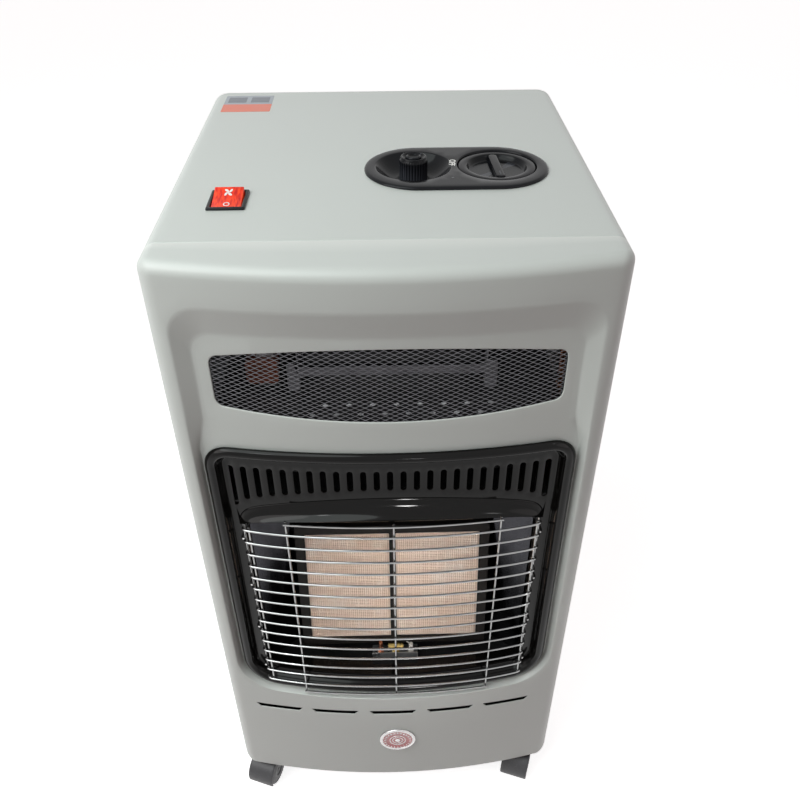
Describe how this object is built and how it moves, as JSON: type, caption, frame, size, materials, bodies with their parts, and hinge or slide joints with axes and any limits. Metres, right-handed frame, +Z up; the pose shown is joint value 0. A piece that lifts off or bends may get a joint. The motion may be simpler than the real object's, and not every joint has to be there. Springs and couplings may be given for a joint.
{
  "type": "portable gas cabinet heater",
  "caption": "Upright mobile gas heater: bowed steel cabinet on casters, radiant plaque burner behind a wire guard, warm-air outlet above, top controls and cylinder bay at the rear.",
  "frame": {"origin": "on the floor, under the middle of the cabinet", "axes": "+Z up, -Y out of the burner front, +X to the right when facing the front"},
  "size_m": [0.4, 0.4572, 0.8021],
  "materials": {
    "cabinet_paint": "light grey satin paint",
    "enamel": "gloss black enamel",
    "chrome": "bright chrome plate",
    "bright_steel": "polished reflector steel",
    "galvanised": "galvanised sheet",
    "dark_steel": "dark heat-stained sheet",
    "divider_steel": "heat-browned steel",
    "plaque_ceramic": "porous ceramic burner plaque",
    "porcelain": "white glazed insulator",
    "brass": "turned brass",
    "copper": "drawn copper tube",
    "winding": "lacquered winding wrap",
    "control_plastic": "black satin plastic",
    "rocker_plastic": "translucent red plastic",
    "badge_plastic": "glossy badge disc",
    "caster_plastic": "dark grey nylon",
    "zinc_steel": "zinc-plated steel"
  },
  "bodies": {
    "cabinet": {"front_panel": "cabinet_paint", "top_panel": "cabinet_paint", "side_panel_left": "cabinet_paint", "side_panel_right": "cabinet_paint", "base_pan": "dark_steel", "bulkhead": "galvanised", "outlet_mesh": "galvanised", "duct_floor": "dark_steel", "burner_surround": "enamel", "wire_guard": "chrome", "firebox": "dark_steel", "reflector_left": "bright_steel", "reflector_right": "bright_steel", "plaque_left": "plaque_ceramic", "plaque_right": "plaque_ceramic", "plaque_frame": "divider_steel", "burner_box": "galvanised", "burner_injector": "brass", "burner_pipe": "copper", "pilot_bracket": "bright_steel", "pilot_burner": "brass", "pilot_pipe": "copper", "thermocouple": "copper", "spark_electrode": "porcelain", "blower_frame": "galvanised", "blower_housing": "galvanised", "motor_core": "zinc_steel", "motor_coil": "winding", "control_bezel": "control_plastic", "gas_valve": "brass", "hose_inlet": "brass", "igniter_collar": "control_plastic", "igniter_body": "control_plastic", "switch_body": "control_plastic", "badge": "badge_plastic", "cable_gland": "control_plastic", "caster_front_left_stem": "zinc_steel", "caster_front_right_stem": "zinc_steel", "caster_rear_left_stem": "zinc_steel", "caster_rear_right_stem": "zinc_steel"},
    "rear_cover": {"rear_cover": "cabinet_paint"},
    "valve_plunger": {"valve_plunger": "brass"},
    "gas_dial": {"gas_dial": "control_plastic", "valve_spindle": "zinc_steel"},
    "igniter_button": {"igniter_button": "control_plastic"},
    "rocker": {"rocker": "rocker_plastic"},
    "blower_impeller": {"blower_impeller": "galvanised"},
    "front_left_swivel": {"caster_front_left_fork": "caster_plastic"},
    "front_left_wheels": {"caster_front_left_wheel_left": "caster_plastic", "caster_front_left_wheel_right": "caster_plastic"},
    "front_right_swivel": {"caster_front_right_fork": "caster_plastic"},
    "front_right_wheels": {"caster_front_right_wheel_left": "caster_plastic", "caster_front_right_wheel_right": "caster_plastic"},
    "rear_left_swivel": {"caster_rear_left_fork": "caster_plastic"},
    "rear_left_wheels": {"caster_rear_left_wheel_left": "caster_plastic", "caster_rear_left_wheel_right": "caster_plastic"},
    "rear_right_swivel": {"caster_rear_right_fork": "caster_plastic"},
    "rear_right_wheels": {"caster_rear_right_wheel_left": "caster_plastic", "caster_rear_right_wheel_right": "caster_plastic"}
  },
  "joints": [
    {"name": "rear_cover_hinge", "type": "hinge", "parent": "cabinet", "child": "rear_cover", "pos_m": [0, 0.224, 0.066], "axis": [-1, 0, 0], "range_deg": [0, 80]},
    {"name": "dial_push", "type": "slide", "parent": "cabinet", "child": "valve_plunger", "axis": [0, 0, -1], "range_m": [0, 0.004], "stiffness_N_per_m": 1500, "springref_m": -0.004},
    {"name": "dial_turn", "type": "hinge", "parent": "valve_plunger", "child": "gas_dial", "pos_m": [0.107, -0.02, 0.787], "axis": [0, 0, 1], "range_deg": [0, 240]},
    {"name": "igniter_push", "type": "slide", "parent": "cabinet", "child": "igniter_button", "axis": [0, 0, -1], "range_m": [0, 0.006], "stiffness_N_per_m": 800, "springref_m": -0.004},
    {"name": "rocker_tilt", "type": "hinge", "parent": "cabinet", "child": "rocker", "pos_m": [-0.14, -0.09, 0.7855], "axis": [-1, 0, 0], "range_deg": [0, 21]},
    {"name": "impeller_spin", "type": "hinge", "parent": "cabinet", "child": "blower_impeller", "pos_m": [0, -0.125, 0.664], "axis": [1, 0, 0], "continuous": true},
    {"name": "front_left_swivel_turn", "type": "hinge", "parent": "cabinet", "child": "front_left_swivel", "pos_m": [-0.17, -0.179, 0.042], "axis": [0, 0, 1], "continuous": true},
    {"name": "front_left_wheels_roll", "type": "hinge", "parent": "front_left_swivel", "child": "front_left_wheels", "pos_m": [-0.17513, -0.1931, 0.02], "axis": [0.9397, -0.342, 0], "continuous": true},
    {"name": "front_right_swivel_turn", "type": "hinge", "parent": "cabinet", "child": "front_right_swivel", "pos_m": [0.17, -0.179, 0.042], "axis": [0, 0, 1], "continuous": true},
    {"name": "front_right_wheels_roll", "type": "hinge", "parent": "front_right_swivel", "child": "front_right_wheels", "pos_m": [0.16487, -0.1931, 0.02], "axis": [0.9397, -0.342, 0], "continuous": true},
    {"name": "rear_left_swivel_turn", "type": "hinge", "parent": "cabinet", "child": "rear_left_swivel", "pos_m": [-0.17, 0.203, 0.042], "axis": [0, 0, 1], "continuous": true},
    {"name": "rear_left_wheels_roll", "type": "hinge", "parent": "rear_left_swivel", "child": "rear_left_wheels", "pos_m": [-0.16366, 0.18941, 0.02], "axis": [0.9063, 0.4226, 0], "continuous": true},
    {"name": "rear_right_swivel_turn", "type": "hinge", "parent": "cabinet", "child": "rear_right_swivel", "pos_m": [0.17, 0.203, 0.042], "axis": [0, 0, 1], "continuous": true},
    {"name": "rear_right_wheels_roll", "type": "hinge", "parent": "rear_right_swivel", "child": "rear_right_wheels", "pos_m": [0.16036, 0.19151, 0.02], "axis": [0.766, -0.6428, 0], "continuous": true}
  ]
}
